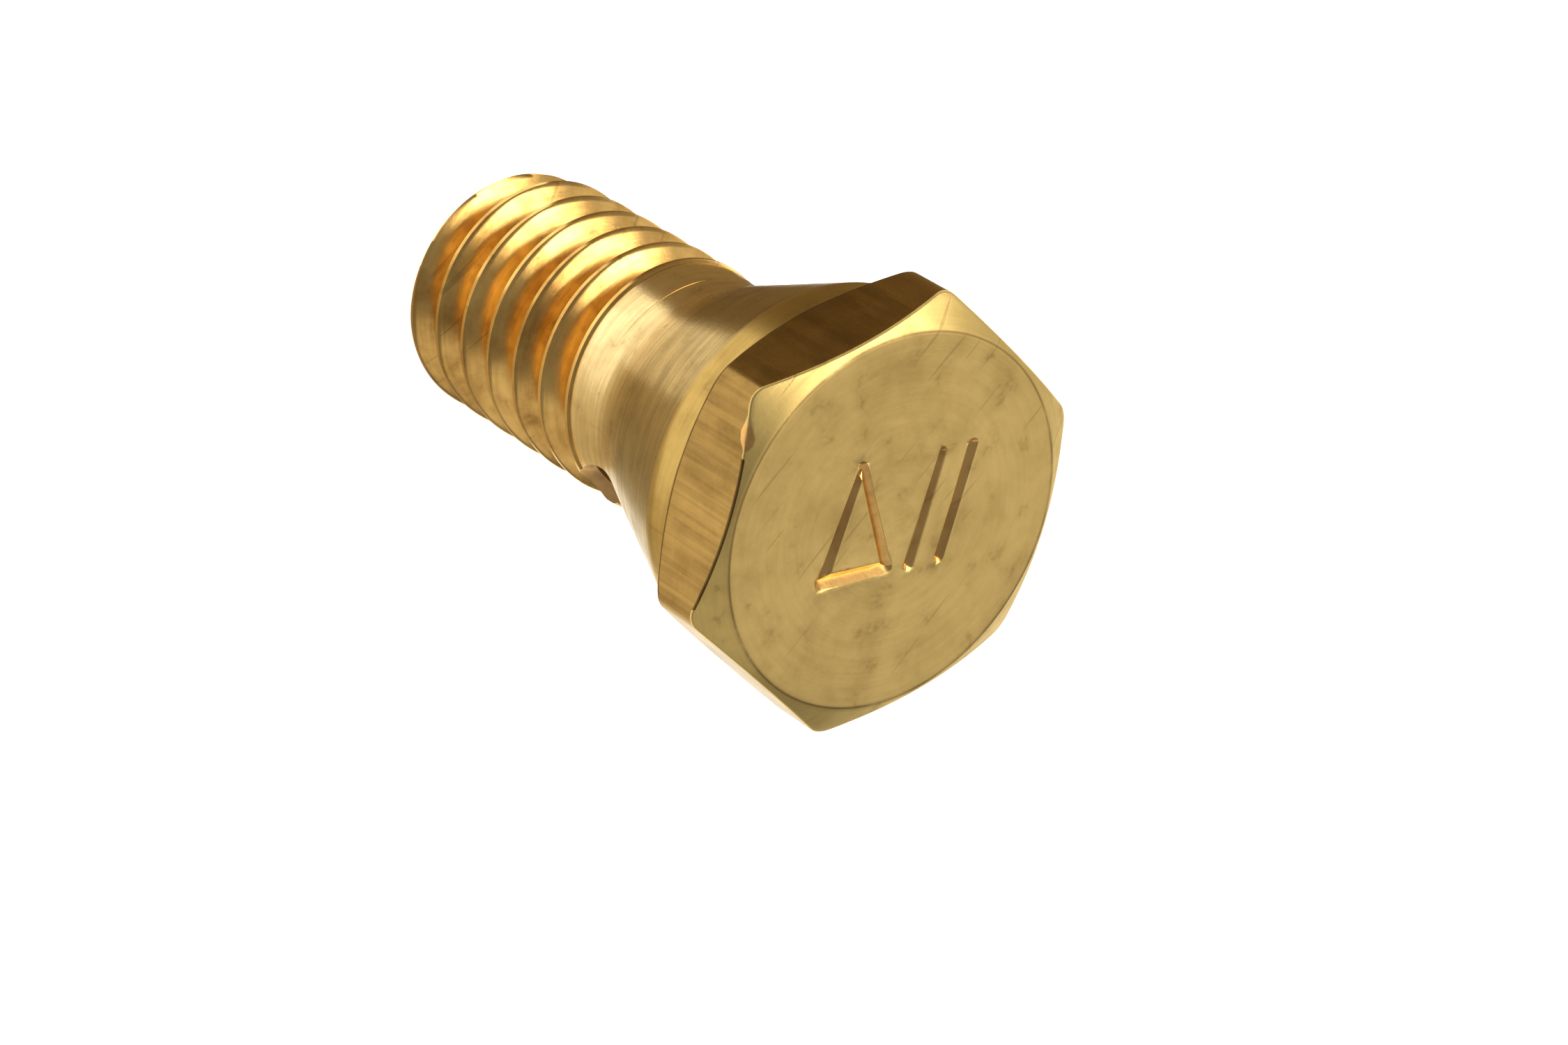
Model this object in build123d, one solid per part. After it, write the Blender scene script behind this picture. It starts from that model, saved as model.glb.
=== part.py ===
"""Turned brass hex bolt with a tapered seat, a cross-drilled shank and a 5/16-18 thread.

One piece of metal, millimetres. +Z is the bolt's axis, towards the head; the origin is the centre of the
tip's end plane. Two of the head's six flats face -Y and +Y.
"""

import math
import os

from build123d import *

INCH = 25.4

# Driving dimensions.
THREAD_DIAMETER = 5 / 16 * INCH
THREADS_PER_INCH = 18
ACROSS_FLATS = 15 / 32 * INCH
OVERALL_LENGTH = 25 / 32 * INCH

# Heights along the axis, measured down from the top of the head.
FLAT_BOTTOM_DEPTH = 2.81
RIM_BOTTOM_DEPTH = 3.75
TAPER_FOOT_DEPTH = 8.95
THREAD_START_DEPTH = 10.22

# Head: a hex bar end with a turned top chamfer and an eased underside.
FACE_RADIUS = 0.4834 * ACROSS_FLATS
TOP_CHAMFER_ANGLE = 30.0
UNDER_CHAMFER_ANGLE = 35.0
CORNER_ROUNDING = 0.7
RIM_RADIUS = 0.494 * ACROSS_FLATS

# Shank: slightly smaller than the thread, with a soft fillet where the taper meets it.
SHANK_RADIUS = 3.86
TAPER_FILLET = 3.0

# Thread: the class 2A external form, 60 degrees.
PITCH = INCH / THREADS_PER_INCH
MAJOR_RADIUS = THREAD_DIAMETER / 2 - 0.034
THREAD_DEPTH = 0.6134 * PITCH
CREST_WIDTH = PITCH / 8
HALF_FLANK_ANGLE = 30.0
GROOVE_OVERCUT = 0.03
GROOVE_TOP_AZIMUTH = 20.0
FIRST_CREST_DEPTH = 10.87
FIRST_CREST_AZIMUTH = -90.0
TIP_CHAMFER = 0.5

# Drillings: a cross hole at the foot of the taper and a blind bore up from the tip that meets it.
CROSS_HOLE_RADIUS = 7 / 64 * INCH / 2
CROSS_HOLE_DEPTH = 9.15
CROSS_HOLE_AZIMUTH = -34.0
TIP_BORE_RADIUS = 1 / 8 * INCH / 2
DRILL_POINT_ANGLE = 118.0
BORE_OVERCUT = 1.0

# Stamped marks on the head's top face: straight V-shaped strokes. Each mark has its centre in the part's own
# X and Y, and its strokes' ends along the mark's own right and up. The cutting bar's V goes on above the face
# by a share of its depth.
STAMP_WIDTH = 0.42
STAMP_DEPTH = 0.2
STAMP_OVERCUT = 0.5
MARK_TURN = 104.0
MARK_HEIGHT = 3.4
TRIANGLE_CENTRE = (0.0, -1.35)
TRIANGLE_WIDTH = 2.3
BARS_CENTRE = (-0.6, 1.55)
BAR_LEAN = 0.9
BAR_SPACING = 1.1
BAR_COUNT = 2


def height(depth_below_top):
    """Z of a level that is given as a depth below the top of the head."""
    return OVERALL_LENGTH - depth_below_top


def head():
    """Hex prism cut by the turned chamfers on its top and underside."""
    prism = extrude(RegularPolygon(ACROSS_FLATS / 2, 6, major_radius=False, rotation=0), RIM_BOTTOM_DEPTH)
    prism = fillet(prism.edges().filter_by(Axis.Z), CORNER_ROUNDING)
    prism = prism.moved(Location((0, 0, height(RIM_BOTTOM_DEPTH))))
    reach = ACROSS_FLATS
    top_drop = (reach - FACE_RADIUS) * math.tan(math.radians(TOP_CHAMFER_ANGLE))
    under_rise = (reach - ACROSS_FLATS / 2) * math.tan(math.radians(UNDER_CHAMFER_ANGLE))
    under_drop = (ACROSS_FLATS / 2 - RIM_RADIUS) * math.tan(math.radians(UNDER_CHAMFER_ANGLE))
    outline = Polyline(
        (0, height(0)),
        (FACE_RADIUS, height(0)),
        (reach, height(top_drop)),
        (reach, height(FLAT_BOTTOM_DEPTH - under_rise)),
        (RIM_RADIUS, height(FLAT_BOTTOM_DEPTH + under_drop)),
        (0, height(FLAT_BOTTOM_DEPTH + under_drop)),
        close=True,
    )
    turned = revolve(make_face(Plane.XZ * outline), Axis.Z)
    return prism & turned


def stem():
    """Rim, tapered seat, shank and thread blank as one turned solid, with a chamfered tip."""
    outline = Polyline(
        (0, 0),
        (MAJOR_RADIUS - TIP_CHAMFER, 0),
        (MAJOR_RADIUS, TIP_CHAMFER),
        (MAJOR_RADIUS, height(THREAD_START_DEPTH)),
        (SHANK_RADIUS, height(THREAD_START_DEPTH)),
        (SHANK_RADIUS, height(TAPER_FOOT_DEPTH)),
        (RIM_RADIUS, height(RIM_BOTTOM_DEPTH)),
        (RIM_RADIUS, height(FLAT_BOTTOM_DEPTH / 2)),
        (0, height(FLAT_BOTTOM_DEPTH / 2)),
        close=True,
    )
    section = make_face(outline)
    foot = section.vertices().sort_by_distance((SHANK_RADIUS, height(TAPER_FOOT_DEPTH), 0))[0]
    section = fillet(foot, TAPER_FILLET)
    return revolve(Plane.XZ * section, Axis.Z)


def helix_path(turns):
    """Helix up from z 0, in edges of one turn or less, so that no swept face winds round more than once."""
    edges = []
    for k in range(math.ceil(turns)):
        share = min(turns - k, 1)
        edge = Helix(pitch=PITCH, height=share * PITCH, radius=MAJOR_RADIUS)
        edges.append(edge.moved(Location((0, 0, k * PITCH))))
    return Wire(edges)


def thread_groove():
    """Right-hand helical V groove, from past the tip up to its end under the first crest."""
    turns_below = math.ceil(height(FIRST_CREST_DEPTH) / PITCH) + 1
    centre_at_zero = height(FIRST_CREST_DEPTH) - PITCH / 2 - PITCH * FIRST_CREST_AZIMUTH / 360
    start_height = centre_at_zero - turns_below * PITCH
    path = helix_path(turns_below + GROOVE_TOP_AZIMUTH / 360)
    slope = math.tan(math.radians(HALF_FLANK_ANGLE))
    outer_half = (PITCH - CREST_WIDTH) / 2 + GROOVE_OVERCUT * slope
    root_half = (PITCH - CREST_WIDTH) / 2 - THREAD_DEPTH * slope
    outline = Polyline(
        (MAJOR_RADIUS + GROOVE_OVERCUT, -outer_half),
        (MAJOR_RADIUS + GROOVE_OVERCUT, outer_half),
        (MAJOR_RADIUS - THREAD_DEPTH, root_half),
        (MAJOR_RADIUS - THREAD_DEPTH, -root_half),
        close=True,
    )
    section = Plane.XZ * make_face(outline)
    groove = sweep(section, path=path, is_frenet=True)
    return groove.moved(Location((0, 0, start_height)))


def cross_hole():
    """Cylinder that drills the shank from one side to the other."""
    drill = Cylinder(CROSS_HOLE_RADIUS, 4 * MAJOR_RADIUS, rotation=(0, 90, 0))
    return Location((0, 0, height(CROSS_HOLE_DEPTH)), (0, 0, CROSS_HOLE_AZIMUTH)) * drill


def tip_bore():
    """Blind drilling from the tip, full size as far as the cross hole, with a drill point."""
    full_depth = height(CROSS_HOLE_DEPTH)
    point_height = TIP_BORE_RADIUS / math.tan(math.radians(DRILL_POINT_ANGLE / 2))
    outline = Polyline(
        (0, -BORE_OVERCUT),
        (TIP_BORE_RADIUS, -BORE_OVERCUT),
        (TIP_BORE_RADIUS, full_depth),
        (0, full_depth + point_height),
        close=True,
    )
    return revolve(Plane.XZ * make_face(outline), Axis.Z)


def stamp_stroke(start, end):
    """V-shaped bar that presses one straight stroke into the head's top face."""
    length = math.dist(start, end)
    half_width = STAMP_WIDTH / 2 * (1 + STAMP_OVERCUT)
    above = STAMP_DEPTH * STAMP_OVERCUT
    section = Polyline((-half_width, above), (half_width, above), (0, -STAMP_DEPTH), close=True)
    bar = extrude(Plane.YZ * make_face(section), length)
    turn = math.degrees(math.atan2(end[1] - start[1], end[0] - start[0]))
    return Location((start[0], start[1], height(0)), (0, 0, turn)) * bar


def on_face(centre, right, up):
    """Point of the top face, from a mark's centre and distances to the mark's own right and up."""
    turn = math.radians(MARK_TURN)
    x = centre[0] + right * math.cos(turn) - up * math.sin(turn)
    y = centre[1] + right * math.sin(turn) + up * math.cos(turn)
    return (x, y)


def triangle_strokes():
    """Three strokes round a triangle that stands on its base."""
    left = on_face(TRIANGLE_CENTRE, -TRIANGLE_WIDTH / 2, -MARK_HEIGHT / 2)
    right = on_face(TRIANGLE_CENTRE, TRIANGLE_WIDTH / 2, -MARK_HEIGHT / 2)
    top = on_face(TRIANGLE_CENTRE, 0, MARK_HEIGHT / 2)
    return [stamp_stroke(left, right), stamp_stroke(right, top), stamp_stroke(top, left)]


def bar_strokes():
    """Parallel bars that lean to the right."""
    strokes = []
    for k in range(BAR_COUNT):
        middle = (k - (BAR_COUNT - 1) / 2) * BAR_SPACING
        low = on_face(BARS_CENTRE, middle - BAR_LEAN / 2, -MARK_HEIGHT / 2)
        high = on_face(BARS_CENTRE, middle + BAR_LEAN / 2, MARK_HEIGHT / 2)
        strokes.append(stamp_stroke(low, high))
    return strokes


def bolt():
    """The whole bolt as one solid: threaded first, then joined to the head, drilled and stamped."""
    threaded_stem = stem() - thread_groove()
    body = threaded_stem + head()
    body = body - cross_hole() - tip_bore()
    for stroke in triangle_strokes() + bar_strokes():
        body = body - stroke
    return body


os.makedirs("parts", exist_ok=True)
export_step(bolt(), "parts/bolt.step")
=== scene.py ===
"""Looks of a turned brass hex bolt: its detailed mesh, brass materials, studio and camera."""

import math
from collections import namedtuple

import bmesh
import bpy
from mathutils import Matrix, Vector, geometry


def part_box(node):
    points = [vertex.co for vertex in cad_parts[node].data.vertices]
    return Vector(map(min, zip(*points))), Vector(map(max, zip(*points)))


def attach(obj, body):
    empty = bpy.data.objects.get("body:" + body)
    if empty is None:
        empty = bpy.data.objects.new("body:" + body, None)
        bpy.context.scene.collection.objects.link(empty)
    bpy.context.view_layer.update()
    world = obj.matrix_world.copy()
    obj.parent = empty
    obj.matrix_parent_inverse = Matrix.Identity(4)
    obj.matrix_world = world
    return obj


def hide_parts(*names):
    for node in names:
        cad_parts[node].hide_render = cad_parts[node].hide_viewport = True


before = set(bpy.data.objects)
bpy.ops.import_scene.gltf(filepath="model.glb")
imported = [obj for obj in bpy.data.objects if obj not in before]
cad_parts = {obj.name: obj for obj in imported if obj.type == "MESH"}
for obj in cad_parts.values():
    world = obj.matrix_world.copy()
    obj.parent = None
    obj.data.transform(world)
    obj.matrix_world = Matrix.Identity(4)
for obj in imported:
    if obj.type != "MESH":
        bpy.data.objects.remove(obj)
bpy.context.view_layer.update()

MM = 0.001
INCH = 25.4 * MM

# The frame gives the bolt's length and its width across the flats; the origin is the tip's centre.
# SKIN keeps the mesh a hair inside the frame's own box.
SKIN = 0.0015 * MM
HIGH_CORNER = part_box("bolt")[1]
TOP = HIGH_CORNER[2] - SKIN
HALF_FLATS = HIGH_CORNER[1] - SKIN

# Head and stem. Depths are measured down from the head's top face.
FACE_RADIUS = 0.9668 * HALF_FLATS
RIM_RADIUS = 0.988 * HALF_FLATS
TOP_CHAMFER_SLOPE = math.tan(math.radians(30.0))
UNDER_CHAMFER_SLOPE = math.tan(math.radians(35.0))
CORNER_ROUNDING = 0.7 * MM
FLAT_BOTTOM = 2.81 * MM
RIM_BOTTOM = 3.75 * MM
TAPER_FOOT = 8.95 * MM
SHANK_RADIUS = 3.86 * MM

# How far each turned edge is rounded back along its neighbours. No rounding takes more than the share
# LONGEST_ROUNDING of a neighbour.
FACE_EDGE_ROUNDING = 0.10 * MM
FLAT_TOP_ROUNDING = 0.06 * MM
FLAT_LOW_ROUNDING = 0.07 * MM
RIM_TOP_ROUNDING = 0.04 * MM
RIM_LOW_ROUNDING = 0.24 * MM
FOOT_ROUNDING = 0.56 * MM
LONGEST_ROUNDING = 0.45

# Marks on the head's front edge, in degrees of azimuth: a dark line, and the place of a knock that wore it.
EDGE_LINE_START = -106.0
EDGE_LINE_END = -63.0
KNOCK_AZIMUTH = -110.5
KNOCK_REACH = 3.4
KNOCK_ROUNDING = 0.22 * MM
KNOCK_BARE = 0.3

# Thread. Its rows follow the helix, below THREAD_TOP. Going round towards the tip, the first ridge rises over
# RUN_OUT_TURNS until its azimuth, and the groove under it deepens over as many turns from its azimuth on.
PITCH = INCH / 18
MAJOR_RADIUS = 3.935 * MM
ROOT_RADIUS = MAJOR_RADIUS - 0.6134 * PITCH
HALF_CREST = PITCH / 16
FLANK_SLOPE = math.tan(math.radians(30.0))
CREST_ROUNDING = 0.05 * MM
ROOT_ROUNDING = 0.16 * MM
RUN_OUT_ROUNDING = 0.03 * MM
THREAD_TOP = 9.66 * MM
FIRST_CREST = 10.87 * MM
FIRST_CREST_AZIMUTH = -90.0
RIDGE_START_AZIMUTH = 60.0
GROOVE_START_AZIMUTH = 60.0
RUN_OUT_TURNS = 0.22
ROWS_PER_HALF_PITCH = 13
EVEN_ROW_SHARE = 0.55
SPARE_TURNS = 2

# Where the thread's brass begins, in pitches below the first crest. It begins one pitch lower where the ridge
# is missing, and moves there over the azimuths from BRASS_SHIFT_START on.
BRASS_ABOVE_CREST = 0.14
BRASS_SHIFT_START = -20.0
BRASS_SHIFT_SPAN = 80.0

# Tip and drillings.
TIP_CHAMFER = 0.5 * MM
TIP_ROUNDING = 0.04 * MM
BORE_RADIUS = 1 / 8 * INCH / 2
BORE_MOUTH_CHAMFER = 0.15 * MM
DRILL_POINT_SLOPE = math.tan(math.radians(59.0))
TIP_ROW_SHARES = (0.96, 0.7, 0.4, 0.06)
BORE_ROW_SHARES = (0.02, 0.25, 0.5, 0.75, 0.98, 1.0)
CROSS_HOLE_RADIUS = 7 / 64 * INCH / 2
CROSS_HOLE_DEPTH = 9.15 * MM
CROSS_HOLE_AZIMUTH = -34.0
MOUTH_FLARE_START = 3.45 * MM
MOUTH_FLARE_SLOPE = 0.8
DRILL_REACH = 4.6 * MM
DRILL_SEGMENTS = 72

# Columns of the mesh: degrees from one hex corner to the next, closer together at the rounded corners.
CORNER_STEPS = (0, 1, 2)
FLAT_STEPS = tuple(range(3, 58, 2))
LEAVING_STEPS = (58, 59)

# Stamped marks: the turn of their own right from +X, and their centres on the face. A stroke's forces say how
# hard each of its ends was struck, where 1 gives the full width and depth.
MARK_TURN = math.radians(104.0)
MARK_HEIGHT = 3.4 * MM
TRIANGLE_CENTRE = Vector((0.0, -1.35)) * MM
TRIANGLE_WIDTH = 2.3 * MM
TRIANGLE_FORCES = ((1.1, 0.9), (0.8, 0.65), (0.6, 0.9))
BARS_CENTRE = Vector((-0.6, 1.55)) * MM
BAR_LEAN = 0.9 * MM
BAR_SPACING = 1.1 * MM
BAR_FORCES = ((0.8, 0.6), (0.8, 0.8))
STROKE_HALF_WIDTH = 0.22 * MM
STROKE_DEPTH = 0.2 * MM
STROKE_STEPS = 12
STROKE_END_STEPS = 6

# The metal pushed up along a stroke, with its place and spread in half widths of the stroke.
BURR_HEIGHT = 0.02 * MM
BURR_PLACE = 1.25
BURR_SPREAD = 0.35

# Points of the stamped face: a grid of near-equal triangles, in full near a mark and thinned out elsewhere.
FACE_BORDER = 0.3 * MM
GRID_BORDER = 0.55 * MM
GRID_SPACING = 0.11 * MM
GRID_ROW_RATIO = 0.866
THINNED_EVERY = 4
MARKED_HEIGHT = 0.002 * MM
STRUCK_HEIGHT = -0.004 * MM
FILL_INSIDE_OUTLINE = 1
FILL_TOLERANCE = 0.0005 * MM

WELD_DISTANCE = 0.0004 * MM
SHARP_ANGLE = math.radians(32.0)

ZONES = ("face", "chamfer", "flat", "edge", "rim", "stem", "thread", "bore", "mark")

# A corner of the turned outline: its point and rounding, and the straight run that follows it.
Corner = namedtuple("Corner", "point rounding steps zone run_steps run_zone")

# A stamped stroke: its two ends, and how hard each was struck.
Stroke = namedtuple("Stroke", "start end start_force end_force")


# ---------------------------------------------------------------- outline of the head and stem


def hex_radius(azimuth):
    """Distance from the axis to the side of the rounded hexagon, at an azimuth in degrees."""
    from_normal = abs(azimuth % 60.0 - 30.0)
    turn = math.radians(from_normal)
    centre = (HALF_FLATS - CORNER_ROUNDING) / math.cos(math.radians(30.0))
    flat_end = (HALF_FLATS - CORNER_ROUNDING) * math.tan(math.radians(30.0))
    if turn <= math.atan(flat_end / HALF_FLATS):
        return HALF_FLATS / math.cos(turn)
    off = math.radians(30.0) - turn
    return centre * math.cos(off) + math.sqrt(CORNER_ROUNDING**2 - (centre * math.sin(off)) ** 2)


def soften(before, corner, after, rounding, steps):
    """Points of a rounded corner between two straight runs of an outline."""
    back = before - corner
    ahead = after - corner
    start = corner + back.normalized() * min(rounding, LONGEST_ROUNDING * back.length)
    end = corner + ahead.normalized() * min(rounding, LONGEST_ROUNDING * ahead.length)
    points = []
    for k in range(steps + 1):
        t = k / steps
        points.append(start.lerp(corner, t).lerp(corner.lerp(end, t), t))
    return points


def between(start, end, count):
    """Points inside a straight run, closer together near its ends."""
    points = []
    for k in range(1, count + 1):
        t = (1 - math.cos(math.pi * k / (count + 1))) / 2
        points.append(start.lerp(end, t))
    return points


def nick(azimuth):
    """How far the head's front edge is knocked in at an azimuth, from 0 to 1."""
    distance = (azimuth - KNOCK_AZIMUTH) / KNOCK_REACH
    return max(0.0, 1.0 - distance**2)


def front_edge_zone(azimuth):
    """Zone of the edge between the top chamfer and a flat: bare metal, a dark line or plain chamfer."""
    if nick(azimuth) > KNOCK_BARE:
        return "mark"
    if EDGE_LINE_START < azimuth < EDGE_LINE_END:
        return "edge"
    return "chamfer"


def outline_corners(azimuth):
    """Corners of the outline from the face's edge down to the foot of the taper."""
    side = hex_radius(azimuth)
    chamfer_drop = (side - FACE_RADIUS) * TOP_CHAMFER_SLOPE
    under_rise = (side - HALF_FLATS) * UNDER_CHAMFER_SLOPE
    under_drop = (HALF_FLATS - RIM_RADIUS) * UNDER_CHAMFER_SLOPE
    face_edge = Vector((FACE_RADIUS, BURR_HEIGHT))
    flat_top = Vector((side, BURR_HEIGHT + chamfer_drop))
    flat_low = Vector((side, FLAT_BOTTOM - under_rise))
    rim_top = Vector((RIM_RADIUS, FLAT_BOTTOM + under_drop))
    rim_low = Vector((RIM_RADIUS, RIM_BOTTOM))
    foot = Vector((SHANK_RADIUS, TAPER_FOOT))
    flat_top_rounding = FLAT_TOP_ROUNDING + KNOCK_ROUNDING * nick(azimuth)
    return (
        Corner(face_edge, FACE_EDGE_ROUNDING, 4, "face", 3, "chamfer"),
        Corner(flat_top, flat_top_rounding, 5, front_edge_zone(azimuth), 7, "flat"),
        # The flat's lower edge and the under chamfer take the dark edge brass: painted shade where the head's
        # underside turns away from the light.
        Corner(flat_low, FLAT_LOW_ROUNDING, 4, "edge", 2, "edge"),
        Corner(rim_top, RIM_TOP_ROUNDING, 2, "rim", 3, "rim"),
        Corner(rim_low, RIM_LOW_ROUNDING, 6, "rim", 12, "stem"),
        Corner(foot, FOOT_ROUNDING, 8, "stem", 1, "stem"),
    )


def outline(azimuth):
    """Rows (point, zone) from the face's border to the thread's rows; a point is (radius, depth)."""
    start = Vector((FACE_RADIUS - FACE_BORDER, BURR_HEIGHT))
    end = Vector((SHANK_RADIUS, THREAD_TOP))
    corners = outline_corners(azimuth)
    points = [start] + [corner.point for corner in corners] + [end]
    rounded = []
    for k, corner in enumerate(corners):
        rounded.append(soften(points[k], points[k + 1], points[k + 2], corner.rounding, corner.steps))
    run_ends = [arc[0] for arc in rounded[1:]] + [end]
    rows = [(start, "face")]
    for corner, arc, run_end in zip(corners, rounded, run_ends):
        rows += [(point, corner.zone) for point in arc[:-1]]
        run = [arc[-1]] + between(arc[-1], run_end, corner.run_steps)
        rows += [(point, corner.run_zone) for point in run]
    rows.append((end, "stem"))
    return rows


# ---------------------------------------------------------------- thread and tip


def smooth_step(value):
    """0 below 0, 1 above 1, and a smooth rise between."""
    t = min(1.0, max(0.0, value))
    return t * t * (3 - 2 * t)


def soft_min(a, b, width):
    """The smaller of two lengths, blended over a width."""
    t = max(width - abs(a - b), 0.0) / width
    return min(a, b) - t * t * width / 4


def soft_max(a, b, width):
    """The larger of two lengths, blended over a width."""
    return -soft_min(-a, -b, width)


def crest_depth(azimuth):
    """Depth of the first crest's line at an azimuth from -180 to 180 degrees."""
    return FIRST_CREST - PITCH * (azimuth - FIRST_CREST_AZIMUTH) / 360


def thread_radius(azimuth, depth):
    """Radius of the threaded end, with its run-out under the shank and its tip chamfer."""
    turn = (depth - crest_depth(azimuth)) / PITCH
    ridge = round(turn)
    groove = math.floor(turn)
    turns_past_ridge_start = ridge - azimuth / 360 + RIDGE_START_AZIMUTH / 360
    turns_past_groove_start = groove - azimuth / 360 + GROOVE_START_AZIMUTH / 360
    ridge_share = smooth_step(turns_past_ridge_start / RUN_OUT_TURNS + 1)
    groove_share = smooth_step(turns_past_groove_start / RUN_OUT_TURNS)
    crest_radius = SHANK_RADIUS + (MAJOR_RADIUS - SHANK_RADIUS) * ridge_share
    off_crest = abs(turn - ridge) * PITCH
    flank = crest_radius + (HALF_CREST - off_crest) / FLANK_SLOPE
    cut = soft_max(soft_min(flank, crest_radius, CREST_ROUNDING), ROOT_RADIUS, ROOT_ROUNDING)
    uncut = soft_max(cut, SHANK_RADIUS, RUN_OUT_ROUNDING)
    radius = uncut + (cut - uncut) * groove_share
    tip_cone = MAJOR_RADIUS - TIP_CHAMFER + (TOP - depth)
    return soft_min(radius, tip_cone, TIP_ROUNDING)


def half_pitch_steps():
    """Places from a crest to the next root, as shares of the pitch, closer together near the crest."""
    steps = []
    for k in range(ROWS_PER_HALF_PITCH):
        t = k / ROWS_PER_HALF_PITCH
        steps.append(0.5 * (EVEN_ROW_SHARE * t + (1 - EVEN_ROW_SHARE) * t * t))
    return steps


def thread_steps():
    """Places of the thread's rows along the axis, in pitches below the first crest."""
    half = half_pitch_steps()
    pitch_steps = half + [0.5] + [1 - step for step in reversed(half[1:])]
    turns_below = math.ceil((TOP - THREAD_TOP) / PITCH) + SPARE_TURNS
    steps = []
    for turn in range(-SPARE_TURNS, turns_below):
        steps += [turn + step for step in pitch_steps]
    return steps


def thread_rows(azimuth):
    """Rows (point, zone) that follow the helix, cut off at the shank and at the tip."""
    crest = crest_depth(azimuth)
    brass_start = smooth_step((azimuth - BRASS_SHIFT_START) / BRASS_SHIFT_SPAN) - BRASS_ABOVE_CREST
    rows = []
    for step in thread_steps():
        depth = min(TOP, max(THREAD_TOP, crest + step * PITCH))
        zone = "thread" if step > brass_start else "stem"
        rows.append((Vector((thread_radius(azimuth, depth), depth)), zone))
    return rows


def bore_rows(azimuth):
    """Rows (point, zone) across the tip's end plane and up inside the bore to its drill point."""
    outer = thread_radius(azimuth, TOP)
    mouth = BORE_RADIUS + BORE_MOUTH_CHAMFER
    wall_start = TOP - BORE_MOUTH_CHAMFER
    wall_end = CROSS_HOLE_DEPTH
    rows = []
    for share in TIP_ROW_SHARES:
        rows.append((Vector((mouth + (outer - mouth) * share, TOP)), "thread"))
    rows.append((Vector((mouth, TOP)), "bore"))
    rows.append((Vector((BORE_RADIUS, wall_start)), "bore"))
    for share in BORE_ROW_SHARES:
        rows.append((Vector((BORE_RADIUS, wall_start + (wall_end - wall_start) * share)), "bore"))
    rows.append((Vector((0.0, wall_end - BORE_RADIUS / DRILL_POINT_SLOPE)), "bore"))
    return rows


# ---------------------------------------------------------------- stamped face


def on_face(centre, right, up):
    """Point of the face from a mark's centre and distances to the mark's own right and up."""
    x = centre.x + right * math.cos(MARK_TURN) - up * math.sin(MARK_TURN)
    y = centre.y + right * math.sin(MARK_TURN) + up * math.cos(MARK_TURN)
    return Vector((x, y))


def stamped_strokes():
    """Every stroke of the stamped marks: a triangle and two leaning bars."""
    half = MARK_HEIGHT / 2
    left = on_face(TRIANGLE_CENTRE, -TRIANGLE_WIDTH / 2, -half)
    right = on_face(TRIANGLE_CENTRE, TRIANGLE_WIDTH / 2, -half)
    top = on_face(TRIANGLE_CENTRE, 0, half)
    strokes = []
    for start, end, forces in zip((left, right, top), (right, top, left), TRIANGLE_FORCES):
        strokes.append(Stroke(start, end, *forces))
    for side, forces in zip((-0.5, 0.5), BAR_FORCES):
        middle = side * BAR_SPACING
        low = on_face(BARS_CENTRE, middle - BAR_LEAN / 2, -half)
        high = on_face(BARS_CENTRE, middle + BAR_LEAN / 2, half)
        strokes.append(Stroke(low, high, *forces))
    return strokes


STROKES = stamped_strokes()


def stamp_height(point):
    """Height of the stamped face over its plane at a point: grooves with a low burr along their edges."""
    lowest = 0.0
    burr = 0.0
    for stroke in STROKES:
        along = stroke.end - stroke.start
        share = (point - stroke.start).dot(along) / along.length_squared
        inside = min(1.0, max(0.0, share))
        distance = (point - (stroke.start + along * inside)).length
        force = stroke.start_force + (stroke.end_force - stroke.start_force) * inside
        width = STROKE_HALF_WIDTH * force
        off_burr = (distance - width * BURR_PLACE) / (BURR_SPREAD * width)
        lowest = min(lowest, -STROKE_DEPTH * force * (1 - distance / width))
        burr = max(burr, BURR_HEIGHT * math.exp(-(off_burr**2)))
    return lowest if lowest < 0 else burr


def stroke_outline(stroke):
    """Points round a stroke, at its groove's edge."""
    along = (stroke.end - stroke.start).normalized()
    turn = math.atan2(along.y, along.x)
    points = []
    for centre, force, first in ((stroke.end, stroke.end_force, -90), (stroke.start, stroke.start_force, 90)):
        for k in range(STROKE_END_STEPS + 1):
            angle = turn + math.radians(first + 180 / STROKE_END_STEPS * k)
            points.append(centre + Vector((math.cos(angle), math.sin(angle))) * STROKE_HALF_WIDTH * force)
    return points


def ring_edges(first, count):
    """Edges of a closed ring of points, by their places in a list."""
    return [(first + k, first + (k + 1) % count) for k in range(count)]


def grid_points():
    """Points over the face: all of the grid near a mark, and a thinned grid elsewhere."""
    limit = FACE_RADIUS - GRID_BORDER
    reach = int(limit / GRID_SPACING)
    points = []
    for row in range(-reach, reach + 1):
        for column in range(-reach, reach + 1):
            point = Vector((column + 0.5 * (row % 2), row * GRID_ROW_RATIO)) * GRID_SPACING
            near_mark = abs(stamp_height(point)) > MARKED_HEIGHT
            kept = row % THINNED_EVERY == 0 and column % THINNED_EVERY == 0
            if point.length < limit and (near_mark or kept):
                points.append(point)
    return points


def face_patch(boundary):
    """Vertices and triangles of the stamped face inside its boundary ring."""
    points = [Vector((point.x, point.y)) for point in boundary]
    edges = ring_edges(0, len(points))
    for stroke in STROKES:
        first = len(points)
        points += [stroke.start.lerp(stroke.end, k / STROKE_STEPS) for k in range(STROKE_STEPS + 1)]
        edges += [(first + k, first + k + 1) for k in range(STROKE_STEPS)]
        ring = stroke_outline(stroke)
        edges += ring_edges(len(points), len(ring))
        points += ring
    points += grid_points()
    filled = geometry.delaunay_2d_cdt(points, edges, [], FILL_INSIDE_OUTLINE, FILL_TOLERANCE)
    return filled[0], filled[2]


# ---------------------------------------------------------------- the whole mesh


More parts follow.
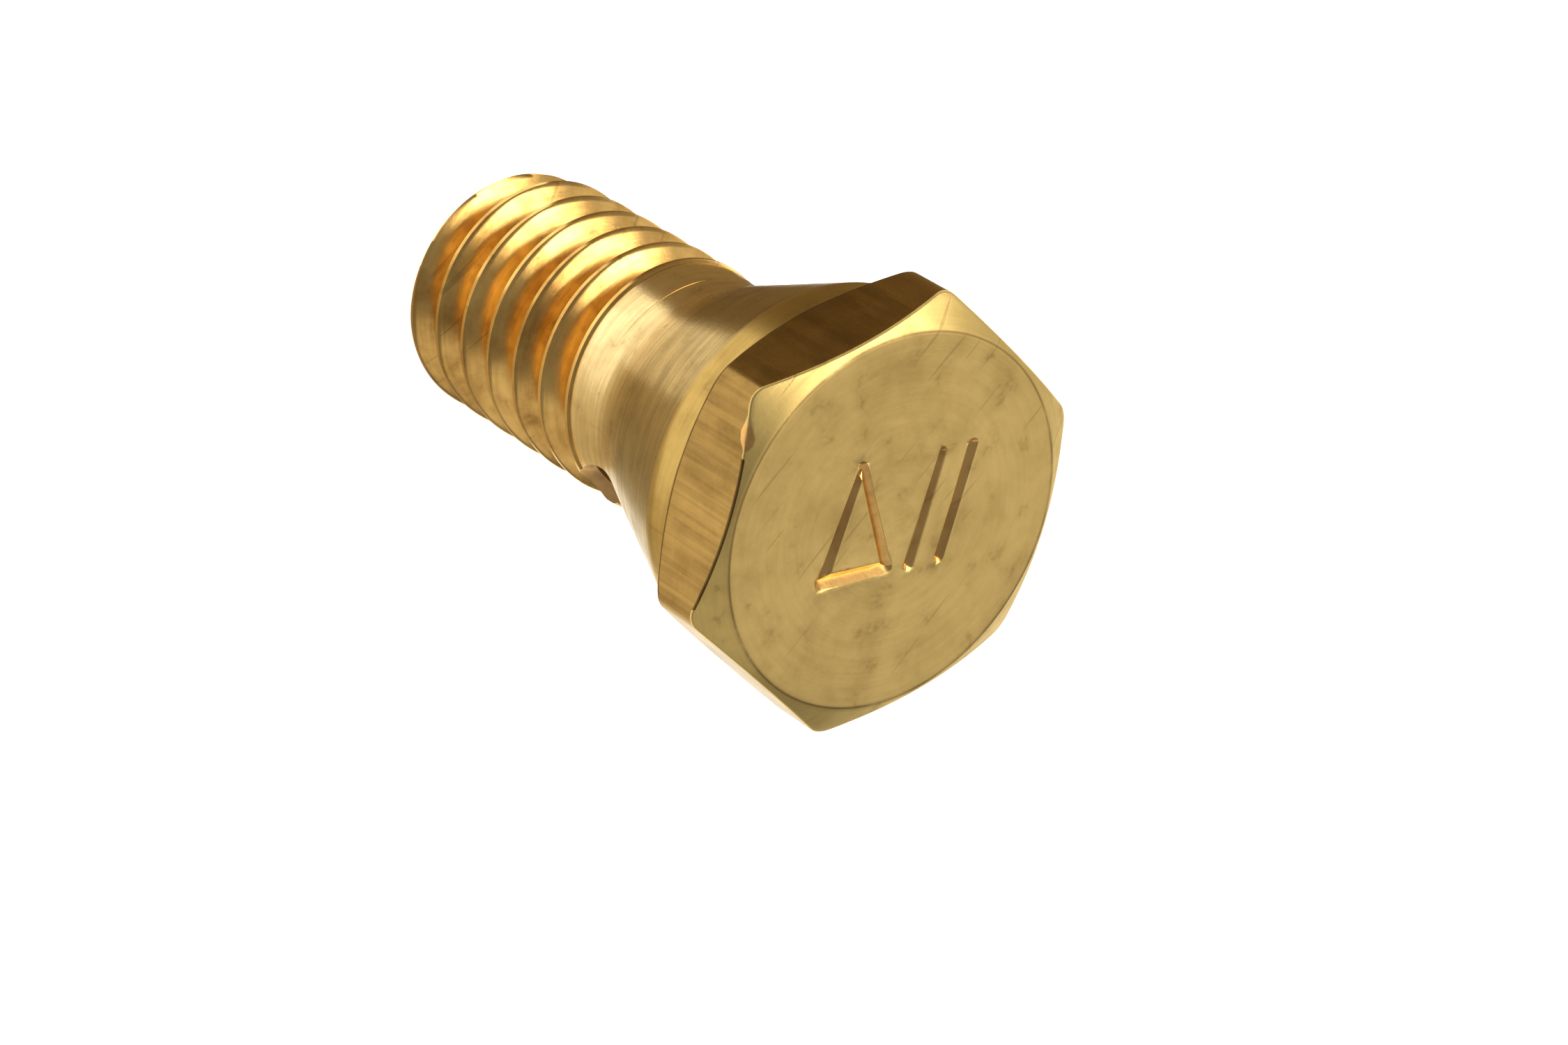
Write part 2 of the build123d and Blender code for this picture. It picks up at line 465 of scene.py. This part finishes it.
def azimuths():
    """Azimuths of the mesh's columns, from one hex corner round to itself."""
    steps = CORNER_STEPS + FLAT_STEPS + LEAVING_STEPS
    found = [-180.0 + 60.0 * sector + step for sector in range(6) for step in steps]
    return found + [180.0]


def placed(point, azimuth):
    """Position in the frame of an outline's point (radius, depth)."""
    turn = math.radians(azimuth)
    return Vector((point.x * math.cos(turn), point.x * math.sin(turn), TOP - point.y))


def add_grid(mesh, columns):
    """Adds quads between neighbouring columns of (point, zone) rows."""
    made = []
    for azimuth, rows in columns:
        made.append([mesh.verts.new(placed(point, azimuth)) for point, zone in rows])
    for left, right, (azimuth, rows) in zip(made, made[1:], columns):
        for k in range(len(rows) - 1):
            face = mesh.faces.new((left[k], left[k + 1], right[k + 1], right[k]))
            face.material_index = ZONES.index(rows[k][1])


def add_face_patch(mesh, columns):
    """Adds the stamped face inside the first row of the columns."""
    boundary = [placed(rows[0][0], azimuth) for azimuth, rows in columns[:-1]]
    points, triangles = face_patch(boundary)
    level = TOP - BURR_HEIGHT
    made = [mesh.verts.new((point.x, point.y, level + stamp_height(point))) for point in points]
    for triangle in triangles:
        face = mesh.faces.new([made[k] for k in triangle])
        middle = sum((points[k] for k in triangle), Vector((0.0, 0.0))) / 3
        struck = stamp_height(middle) < STRUCK_HEIGHT
        face.material_index = ZONES.index("mark" if struck else "face")


def bolt_mesh():
    """The bolt's closed surface, before its cross hole is drilled."""
    columns = []
    for azimuth in azimuths():
        rows = outline(azimuth) + thread_rows(azimuth) + bore_rows(azimuth)
        columns.append((azimuth, rows))
    mesh = bmesh.new()
    add_grid(mesh, columns)
    add_face_patch(mesh, columns)
    bmesh.ops.remove_doubles(mesh, verts=mesh.verts, dist=WELD_DISTANCE)
    bmesh.ops.dissolve_degenerate(mesh, edges=mesh.edges, dist=WELD_DISTANCE)
    bmesh.ops.recalc_face_normals(mesh, faces=mesh.faces)
    return mesh


def mesh_object(name, mesh, materials):
    """An object in the scene from a bmesh."""
    data = bpy.data.meshes.new(name)
    mesh.to_mesh(data)
    mesh.free()
    for material in materials:
        data.materials.append(material)
    made = bpy.data.objects.new(name, data)
    bpy.context.scene.collection.objects.link(made)
    return made


def cross_drill_mesh():
    """Closed drill shape of the cross hole, in place, that widens towards both of its ends."""
    flare = MOUTH_FLARE_SLOPE * (DRILL_REACH - MOUTH_FLARE_START)
    stations = (
        (-DRILL_REACH, CROSS_HOLE_RADIUS + flare),
        (-MOUTH_FLARE_START, CROSS_HOLE_RADIUS),
        (MOUTH_FLARE_START, CROSS_HOLE_RADIUS),
        (DRILL_REACH, CROSS_HOLE_RADIUS + flare),
    )
    mesh = bmesh.new()
    rings = []
    for along, radius in stations:
        ring = []
        for k in range(DRILL_SEGMENTS):
            turn = 2 * math.pi * k / DRILL_SEGMENTS
            ring.append(mesh.verts.new((along, radius * math.cos(turn), radius * math.sin(turn))))
        rings.append(ring)
    for near, far in zip(rings, rings[1:]):
        for k in range(DRILL_SEGMENTS):
            mesh.faces.new((near[k], near[k - 1], far[k - 1], far[k]))
    mesh.faces.new(rings[0])
    mesh.faces.new(reversed(rings[-1]))
    bmesh.ops.recalc_face_normals(mesh, faces=mesh.faces)
    turn = Matrix.Rotation(math.radians(CROSS_HOLE_AZIMUTH), 4, "Z")
    place = Matrix.Translation((0, 0, TOP - CROSS_HOLE_DEPTH)) @ turn
    bmesh.ops.transform(mesh, matrix=place, verts=mesh.verts)
    return mesh


def drill_cross_hole(bolt, material):
    """Cuts the cross hole through the bolt's mesh, with both of its mouths eased."""
    drill = mesh_object("cross_drill", cross_drill_mesh(), [material])
    cut = bolt.modifiers.new("cross_hole", "BOOLEAN")
    cut.operation = "DIFFERENCE"
    cut.solver = "EXACT"
    cut.object = drill
    cut.material_mode = "TRANSFER"
    bpy.context.view_layer.update()
    graph = bpy.context.evaluated_depsgraph_get()
    drilled = bpy.data.meshes.new_from_object(bolt.evaluated_get(graph))
    bolt.modifiers.clear()
    bolt.data = drilled
    bpy.data.objects.remove(drill)


def shade(bolt):
    """Smooth shading with sharp edges where the surface really turns."""
    mesh = bmesh.new()
    mesh.from_mesh(bolt.data)
    for edge in mesh.edges:
        edge.smooth = edge.is_manifold and edge.calc_face_angle(0.0) < SHARP_ANGLE
    for face in mesh.faces:
        face.smooth = True
    mesh.to_mesh(bolt.data)
    mesh.free()


# ---------------------------------------------------------------- brass

# Tool lines: how quickly they change round the axis on turned metal and along a drawn flat, and how many
# times as wide as the fine ones the broad ones are.
RING_CHANGE_ROUND = 1.6
DRAWN_CHANGE_ALONG = 0.22
BROAD_LINES = 5

# Scratches: their turn about the axis, how quickly they change across and along, and how rare they are.
SCRATCH_TURN = 31.0
SCRATCHES_PER_MM = 6.0
SCRATCH_CHANGE_ALONG = 0.3
SCRATCH_LEVEL = 0.75
SCRATCH_EDGE = 0.04

# Pits: cells per millimetre, a pit's size in its cell, the share of it at full depth, and how rare pits are.
PIT_CELLS_PER_MM = 0.8
PIT_SIZE = 0.09
PIT_BOTTOM = 0.3
PIT_LEVEL = 0.72

# The dark line round the face's edge, in millimetres.
FACE_LINE_FAR = 0.05
FACE_LINE_NEAR = 0.01
FACE_LINE_DARKNESS = 0.75

GRIME = (0.20, 0.12, 0.04)
BRASS_GLINT = (1.0, 0.92, 0.72, 1.0)
GLOSS_CHANGE = 0.16
RELIEF_DEPTH = 0.012 * MM


class Nodes:
    """Adds nodes to a material and links them."""

    def __init__(self, material):
        self.tree = material.node_tree
        self.shader = self.tree.nodes["Principled BSDF"]

    def add(self, kind, **settings):
        """A new node with some of its settings."""
        node = self.tree.nodes.new(kind)
        for name, value in settings.items():
            setattr(node, name, value)
        return node

    def link(self, source, target):
        """Links an output to an input."""
        self.tree.links.new(source, target)

    def math(self, operation, a, b=None, clamp=False):
        """Result of a Math node; a and b are numbers or outputs."""
        node = self.add("ShaderNodeMath", operation=operation, use_clamp=clamp)
        for socket, value in zip(node.inputs, (a, b)):
            if value is None:
                continue
            if isinstance(value, (int, float)):
                socket.default_value = value
            else:
                self.link(value, socket)
        return node.outputs[0]

    def stretched(self, vector, factors):
        """A vector times a factor for each of its axes."""
        node = self.add("ShaderNodeVectorMath", operation="MULTIPLY")
        self.link(vector, node.inputs[0])
        node.inputs[1].default_value = factors
        return node.outputs[0]

    def noise4(self, vector, w, detail, roughness=0.6):
        """Noise over a vector and a fourth coordinate."""
        node = self.add("ShaderNodeTexNoise", noise_dimensions="4D")
        node.inputs["Scale"].default_value = 1.0
        node.inputs["Detail"].default_value = detail
        node.inputs["Roughness"].default_value = roughness
        self.link(vector, node.inputs["Vector"])
        self.link(w, node.inputs["W"])
        return node.outputs[0]

    def noise(self, vector, scale, detail, roughness=0.55):
        """Noise over a vector."""
        node = self.add("ShaderNodeTexNoise")
        node.inputs["Scale"].default_value = scale
        node.inputs["Detail"].default_value = detail
        node.inputs["Roughness"].default_value = roughness
        self.link(vector, node.inputs["Vector"])
        return node.outputs[0]

    def ramp(self, value, low, high):
        """A value's place between low and high, from 0 to 1."""
        node = self.add("ShaderNodeMapRange")
        node.inputs["From Min"].default_value = low
        node.inputs["From Max"].default_value = high
        self.link(value, node.inputs["Value"])
        return node.outputs[0]

    def mix(self, share, first, second):
        """A share of the second colour over the first."""
        node = self.add("ShaderNodeMix", data_type="RGBA")
        self.link(share, node.inputs["Factor"])
        for socket, value in ((node.inputs["A"], first), (node.inputs["B"], second)):
            if isinstance(value, tuple):
                socket.default_value = (*value, 1.0)
            else:
                self.link(value, socket)
        return node.outputs["Result"]


def axis_distance(nodes, place):
    """Distance from the bolt's axis, in millimetres."""
    length = nodes.add("ShaderNodeVectorMath", operation="LENGTH")
    nodes.link(nodes.stretched(place, (1 / MM, 1 / MM, 0.0)), length.inputs[0])
    return length.outputs["Value"]


def depth_below_top(nodes, place):
    """Depth below the top of the head, in millimetres."""
    split = nodes.add("ShaderNodeSeparateXYZ")
    nodes.link(place, split.inputs[0])
    return nodes.math("DIVIDE", nodes.math("SUBTRACT", TOP, split.outputs["Z"]), MM)


def turned_lines(nodes, place, per_mm, detail):
    """Fine rings left by the lathe: they change quickly along the axis and the radius, slowly round it."""
    unit = nodes.add("ShaderNodeVectorMath", operation="NORMALIZE")
    nodes.link(nodes.stretched(place, (1.0, 1.0, 0.0)), unit.inputs[0])
    around = nodes.add("ShaderNodeSeparateXYZ")
    slow = nodes.stretched(unit.outputs[0], (RING_CHANGE_ROUND, RING_CHANGE_ROUND, 0.0))
    nodes.link(slow, around.inputs[0])
    vector = nodes.add("ShaderNodeCombineXYZ")
    nodes.link(around.outputs["X"], vector.inputs["X"])
    nodes.link(around.outputs["Y"], vector.inputs["Y"])
    nodes.link(nodes.math("MULTIPLY", axis_distance(nodes, place), per_mm), vector.inputs["Z"])
    split = nodes.add("ShaderNodeSeparateXYZ")
    nodes.link(place, split.inputs[0])
    height = nodes.math("MULTIPLY", split.outputs["Z"], per_mm / MM)
    return nodes.noise4(vector.outputs[0], height, detail)


def drawn_lines(nodes, place, per_mm, detail):
    """Fine streaks left along the bar's flats."""
    streaked = nodes.stretched(place, (per_mm / MM, per_mm / MM, DRAWN_CHANGE_ALONG / MM))
    return nodes.noise(streaked, scale=1.0, detail=detail)


def scratches(nodes, place):
    """Thin straight scratches; 1 in a scratch."""
    rotated = nodes.add("ShaderNodeVectorRotate", rotation_type="Z_AXIS")
    nodes.link(place, rotated.inputs["Vector"])
    rotated.inputs["Angle"].default_value = math.radians(SCRATCH_TURN)
    along = SCRATCH_CHANGE_ALONG / MM
    thin = nodes.stretched(rotated.outputs[0], (along, SCRATCHES_PER_MM / MM, along))
    return nodes.ramp(nodes.noise(thin, scale=1.0, detail=0.0), SCRATCH_LEVEL, SCRATCH_LEVEL + SCRATCH_EDGE)


def pits(nodes, place):
    """Scattered small pits; 1 at the middle of a pit."""
    cells = nodes.add("ShaderNodeTexVoronoi")
    cells.inputs["Scale"].default_value = PIT_CELLS_PER_MM / MM
    nodes.link(place, cells.inputs["Vector"])
    depth = nodes.ramp(cells.outputs["Distance"], PIT_SIZE, PIT_SIZE * PIT_BOTTOM)
    chosen = nodes.add("ShaderNodeSeparateXYZ")
    nodes.link(cells.outputs["Color"], chosen.inputs[0])
    return nodes.math("MULTIPLY", depth, nodes.math("GREATER_THAN", chosen.outputs["X"], PIT_LEVEL))


def wear_patterns(nodes, place, look):
    """The patterns that a zone's colour, gloss and relief share."""
    return {
        "fine": look["lines"](nodes, place, look["per_mm"], detail=4.0),
        "broad": look["lines"](nodes, place, look["per_mm"] / BROAD_LINES, detail=2.0),
        "blotch": nodes.noise(place, scale=0.32 / MM, detail=5.0, roughness=0.62),
        "cloud": nodes.noise(place, scale=1.3 / MM, detail=4.0, roughness=0.6),
        "grain": nodes.noise(place, scale=11.0 / MM, detail=2.0, roughness=0.5),
        "pits": pits(nodes, place),
        "scratches": scratches(nodes, place),
    }


def tarnish(nodes, look, wear):
    """How far the colour goes from bright to dull, from 0 to 1."""
    blotched = nodes.math("MULTIPLY", nodes.ramp(wear["blotch"], 0.40, 0.66), look["stain"])
    lined = nodes.math("MULTIPLY", nodes.ramp(wear["fine"], 0.38, 0.68), look["line_tint"])
    banded = nodes.math("MULTIPLY", nodes.ramp(wear["broad"], 0.46, 0.62), look["band_tint"])
    clouded = nodes.math("MULTIPLY", nodes.ramp(wear["cloud"], 0.45, 0.75), 0.3)
    share = nodes.math("ADD", blotched, lined)
    share = nodes.math("ADD", share, banded)
    return nodes.math("ADD", share, clouded, clamp=True)


def brass_colour(nodes, place, look, wear):
    """Colour from bright to dull, with grime in spots, scratches and pits, and a dark line along the face's
    edge.
    """
    bright = look["bright"]
    dull = look["dull"]
    # Painted shade and highlight: the colours turn from the darker taper to the lighter shank over the blend
    # depths.
    if "below" in look:
        lower = nodes.ramp(depth_below_top(nodes, place), *look["blend_depths"])
        bright = nodes.mix(lower, bright, look["below"][0])
        dull = nodes.mix(lower, dull, look["below"][1])
    colour = nodes.mix(tarnish(nodes, look, wear), bright, dull)
    spots = nodes.math("MULTIPLY", nodes.ramp(wear["cloud"], 0.62, 0.72), look["spots"], clamp=True)
    colour = nodes.mix(spots, colour, GRIME)
    for damage in ("scratches", "pits"):
        colour = nodes.mix(nodes.math("MULTIPLY", wear[damage], look["damage"]), colour, GRIME)
    if "line_radius" in look:
        off = nodes.math("SUBTRACT", axis_distance(nodes, place), look["line_radius"])
        near = nodes.ramp(nodes.math("ABSOLUTE", off), FACE_LINE_FAR, FACE_LINE_NEAR)
        line = nodes.math("MULTIPLY", near, nodes.ramp(wear["blotch"], 0.40, 0.52), clamp=True)
        colour = nodes.mix(nodes.math("MULTIPLY", line, FACE_LINE_DARKNESS), colour, GRIME)
    return colour


def brass_roughness(nodes, look, wear):
    """Roughness that changes with the tool lines and the clouds of tarnish."""
    lined = nodes.math("MULTIPLY", wear["fine"], GLOSS_CHANGE)
    clouded = nodes.math("MULTIPLY", wear["cloud"], GLOSS_CHANGE)
    change = nodes.math("ADD", lined, clouded)
    return nodes.math("ADD", change, look["roughness"] - GLOSS_CHANGE, clamp=True)


def brass_normal(nodes, look, wear):
    """Fine relief of tool lines and grain, cut by pits and scratches."""
    height = nodes.math("ADD", wear["fine"], nodes.math("MULTIPLY", wear["broad"], 1.5))
    height = nodes.math("ADD", height, nodes.math("MULTIPLY", wear["grain"], 0.3))
    height = nodes.math("SUBTRACT", height, nodes.math("MULTIPLY", wear["pits"], 2.0))
    height = nodes.math("SUBTRACT", height, nodes.math("MULTIPLY", wear["scratches"], look["damage"]))
    bump = nodes.add("ShaderNodeBump")
    bump.inputs["Strength"].default_value = look["bump"]
    bump.inputs["Distance"].default_value = RELIEF_DEPTH
    nodes.link(height, bump.inputs["Height"])
    return bump.outputs["Normal"]


def brass(name, look):
    """Brass with tool lines, uneven tarnish, scratches and pits, and matching changes of gloss."""
    material = bpy.data.materials.new(name)
    material.use_nodes = True
    nodes = Nodes(material)
    place = nodes.add("ShaderNodeTexCoord").outputs["Object"]
    wear = wear_patterns(nodes, place, look)
    shader = nodes.shader.inputs
    nodes.link(brass_colour(nodes, place, look, wear), shader["Base Color"])
    nodes.link(brass_roughness(nodes, look, wear), shader["Roughness"])
    nodes.link(brass_normal(nodes, look, wear), shader["Normal"])
    shader["Metallic"].default_value = 1.0
    shader["Specular Tint"].default_value = BRASS_GLINT
    return material


def zone_look(bright, dull, roughness, lines, per_mm, bump, stain, line_tint, **others):
    """Settings of one zone's brass; the others have the usual values unless they are given."""
    look = {"spots": 0.35, "damage": 0.3, "band_tint": 0.0}
    look.update(bright=bright, dull=dull, roughness=roughness, lines=lines, per_mm=per_mm)
    look.update(bump=bump, stain=stain, line_tint=line_tint, **others)
    return look


def zone_looks():
    """Settings of every zone's brass. The stem's colours change over the blend depths, in millimetres, from
    painted shade on the taper to a painted highlight on the shank.
    """
    return {
        "face": zone_look(
            bright=(0.62, 0.43, 0.15), dull=(0.40, 0.265, 0.08), roughness=0.42, lines=turned_lines,
            per_mm=5.0, bump=0.35, stain=0.6, line_tint=0.2, line_radius=FACE_RADIUS / MM,
        ),
        "chamfer": zone_look(
            bright=(0.61, 0.43, 0.145), dull=(0.43, 0.29, 0.085), roughness=0.38, lines=turned_lines,
            per_mm=6.0, bump=0.35, stain=0.5, line_tint=0.3, line_radius=FACE_RADIUS / MM,
        ),
        # Painted shade: the flats' brass is darker than the turned faces', for the dimmer light the flats
        # reflect; their streaks are drawn tool lines.
        "flat": zone_look(
            bright=(0.36, 0.213, 0.059), dull=(0.18, 0.10, 0.026), roughness=0.28, lines=drawn_lines,
            per_mm=9.0, bump=0.45, stain=0.5, line_tint=0.3, band_tint=0.3,
        ),
        # Painted shade: the dark brass of the head's lower edge and under chamfer, where the underside is in
        # shade. It also draws the dark line on part of the front edge.
        "edge": zone_look(
            bright=(0.20, 0.12, 0.035), dull=(0.09, 0.05, 0.015), roughness=0.45, lines=turned_lines,
            per_mm=6.0, bump=0.5, stain=0.8, line_tint=0.4,
        ),
        "rim": zone_look(
            bright=(0.47, 0.305, 0.085), dull=(0.29, 0.18, 0.05), roughness=0.32, lines=turned_lines,
            per_mm=6.0, bump=0.4, stain=0.5, line_tint=0.4,
        ),
        # Painted shade and highlight: darker brass on the taper, lighter brass on the shank below the blend
        # depths, for how the light falls on each.
        "stem": zone_look(
            bright=(0.41, 0.275, 0.10), dull=(0.21, 0.135, 0.042), roughness=0.25, lines=turned_lines,
            per_mm=6.0, bump=0.5, stain=0.5, line_tint=0.6, damage=0.1,
            below=((0.86, 0.65, 0.31), (0.58, 0.41, 0.17)), blend_depths=(7.4, 9.6),
        ),
        "thread": zone_look(
            bright=(0.80, 0.49, 0.145), dull=(0.44, 0.23, 0.055), roughness=0.23, lines=turned_lines,
            per_mm=6.0, bump=0.25, stain=0.7, line_tint=0.3,
        ),
        "bore": zone_look(
            bright=(0.62, 0.36, 0.14), dull=(0.36, 0.20, 0.07), roughness=0.45, lines=turned_lines,
            per_mm=4.0, bump=0.5, stain=0.6, line_tint=0.4,
        ),
        "mark": zone_look(
            bright=(0.74, 0.44, 0.14), dull=(0.40, 0.20, 0.06), roughness=0.30, lines=turned_lines,
            per_mm=5.0, bump=0.2, stain=0.6, line_tint=0.2,
        ),
    }


def brass_zones():
    """One brass material for each zone of the bolt, in the order of ZONES."""
    looks = zone_looks()
    return [brass("brass_" + zone, looks[zone]) for zone in ZONES]


# ---------------------------------------------------------------- studio

FLOOR_RADIUS = 900 * MM
FLOOR_SEGMENTS = 96
FLOOR_GAP = 0.02 * MM
CARD_HEIGHT = 0.3 * MM

# Camera: azimuth 0 looks along +Y, and the roll is about the line of sight.
CAMERA_AZIMUTH = math.radians(-22.67)
CAMERA_ELEVATION = math.radians(45.38)
CAMERA_ROLL = math.radians(122.41)
CAMERA_DISTANCE = 132.06 * MM
CAMERA_AIM = Vector((0.832 * MM, -2.362 * MM, TOP - 1.886 * MM))
CAMERA_LENS = 107.16
CAMERA_SENSOR = 36.0
CAMERA_NEAREST = 0.01


def floor_material():
    """Pale matt floor that stays near white."""
    material = bpy.data.materials.new("pale_floor")
    material.use_nodes = True
    shader = material.node_tree.nodes["Principled BSDF"]
    shader.inputs["Base Color"].default_value = (0.86, 0.86, 0.85, 1.0)
    shader.inputs["Roughness"].default_value = 0.9
    shader.inputs["Specular IOR Level"].default_value = 0.1
    shader.inputs["Emission Color"].default_value = (1.0, 1.0, 0.99, 1.0)
    shader.inputs["Emission Strength"].default_value = 0.85
    return material


def add_floor():
    """Round pale floor just under the tip."""
    mesh = bmesh.new()
    bmesh.ops.create_circle(mesh, cap_ends=True, segments=FLOOR_SEGMENTS, radius=FLOOR_RADIUS)
    floor = mesh_object("floor", mesh, [floor_material()])
    floor.location.z = -FLOOR_GAP


def direction(azimuth, elevation):
    """Unit vector towards an azimuth from +X and an elevation, in degrees."""
    turn = math.radians(azimuth)
    rise = math.radians(elevation)
    return Vector((math.cos(turn) * math.cos(rise), math.sin(turn) * math.cos(rise), math.sin(rise)))


def add_light(name, azimuth, elevation, distance, size, power, colour):
    """Square soft light aimed at the bolt; its distance and size are in metres."""
    data = bpy.data.lights.new(name, "AREA")
    data.shape = "SQUARE"
    data.size = size
    data.energy = power
    data.color = colour
    light = bpy.data.objects.new(name, data)
    target = Vector((0, 0, TOP / 2))
    light.location = target + direction(azimuth, elevation) * distance
    light.rotation_euler = (target - light.location).to_track_quat("-Z", "Y").to_euler()
    bpy.context.scene.collection.objects.link(light)


def add_lights():
    """The key light, and three weaker ones round the bolt."""
    warm = (1.0, 0.98, 0.96)
    add_light("key", azimuth=152, elevation=57, distance=0.35, size=0.24, power=1.0, colour=(1.0, 0.98, 0.95))
    add_light("fill", azimuth=80, elevation=52, distance=0.5, size=0.42, power=0.35, colour=warm)
    add_light("back", azimuth=108, elevation=16, distance=0.5, size=0.3, power=0.15, colour=warm)
    add_light("side", azimuth=-8, elevation=42, distance=0.5, size=0.36, power=0.22, colour=(1.0, 0.97, 0.92))


def add_card(name, centre, turn, size, colour, glow):
    """Card lying on the floor that only reflections show; its centre and size are in millimetres."""
    mesh = bmesh.new()
    bmesh.ops.create_grid(mesh, x_segments=1, y_segments=1, size=0.5)
    material = bpy.data.materials.new(name)
    material.use_nodes = True
    shader = material.node_tree.nodes["Principled BSDF"]
    shader.inputs["Base Color"].default_value = (*colour, 1.0)
    shader.inputs["Emission Color"].default_value = (*colour, 1.0)
    shader.inputs["Emission Strength"].default_value = glow
    card = mesh_object(name, mesh, [material])
    card.scale = (size[0] * MM, size[1] * MM, 1.0)
    card.rotation_euler.z = math.radians(turn)
    card.location = (centre[0] * MM, centre[1] * MM, CARD_HEIGHT)
    card.visible_camera = False
    card.visible_diffuse = False
    card.visible_shadow = False


def add_cards():
    """A dark card that the flats and the shank reflect, and a tan one that dims the stem's lower side."""
    brown = (0.15, 0.09, 0.02)
    tan = (0.78, 0.68, 0.50)
    add_card("brown_card", centre=(-31.6, -0.6), turn=30.0, size=(60.0, 26.0), colour=brown, glow=0.35)
    add_card("tan_card", centre=(9.5, -8.5), turn=-28.0, size=(22.0, 14.0), colour=tan, glow=0.25)


def add_world():
    """Even soft light from all round."""
    world = bpy.data.worlds.new("studio")
    world.use_nodes = True
    background = world.node_tree.nodes["Background"]
    background.inputs["Color"].default_value = (0.95, 0.97, 1.0, 1.0)
    background.inputs["Strength"].default_value = 0.3
    bpy.context.scene.world = world


def add_camera():
    """Camera above the head, rolled so that the bolt's axis runs from lower right to upper left."""
    flat = math.cos(CAMERA_ELEVATION)
    across = math.sin(CAMERA_AZIMUTH) * flat
    away = -math.cos(CAMERA_AZIMUTH) * flat
    back = Vector((across, away, math.sin(CAMERA_ELEVATION)))
    right = Vector((0, 0, 1)).cross(back).normalized()
    up = back.cross(right)
    rolled_right = right * math.cos(CAMERA_ROLL) + up * math.sin(CAMERA_ROLL)
    rolled_up = back.cross(rolled_right)
    data = bpy.data.cameras.new("camera")
    data.lens = CAMERA_LENS
    data.sensor_width = CAMERA_SENSOR
    data.clip_start = CAMERA_NEAREST
    camera = bpy.data.objects.new("camera", data)
    turn = Matrix((rolled_right, rolled_up, back)).transposed()
    camera.matrix_world = Matrix.Translation(CAMERA_AIM + back * CAMERA_DISTANCE) @ turn.to_4x4()
    bpy.context.scene.collection.objects.link(camera)
    bpy.context.scene.camera = camera


add_camera()
add_world()
add_floor()
add_cards()
add_lights()
bpy.context.scene.view_settings.view_transform = "Standard"

materials = brass_zones()
bolt = mesh_object("bolt_body", bolt_mesh(), materials)
drill_cross_hole(bolt, materials[ZONES.index("bore")])
shade(bolt)
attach(bolt, "root")
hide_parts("bolt")
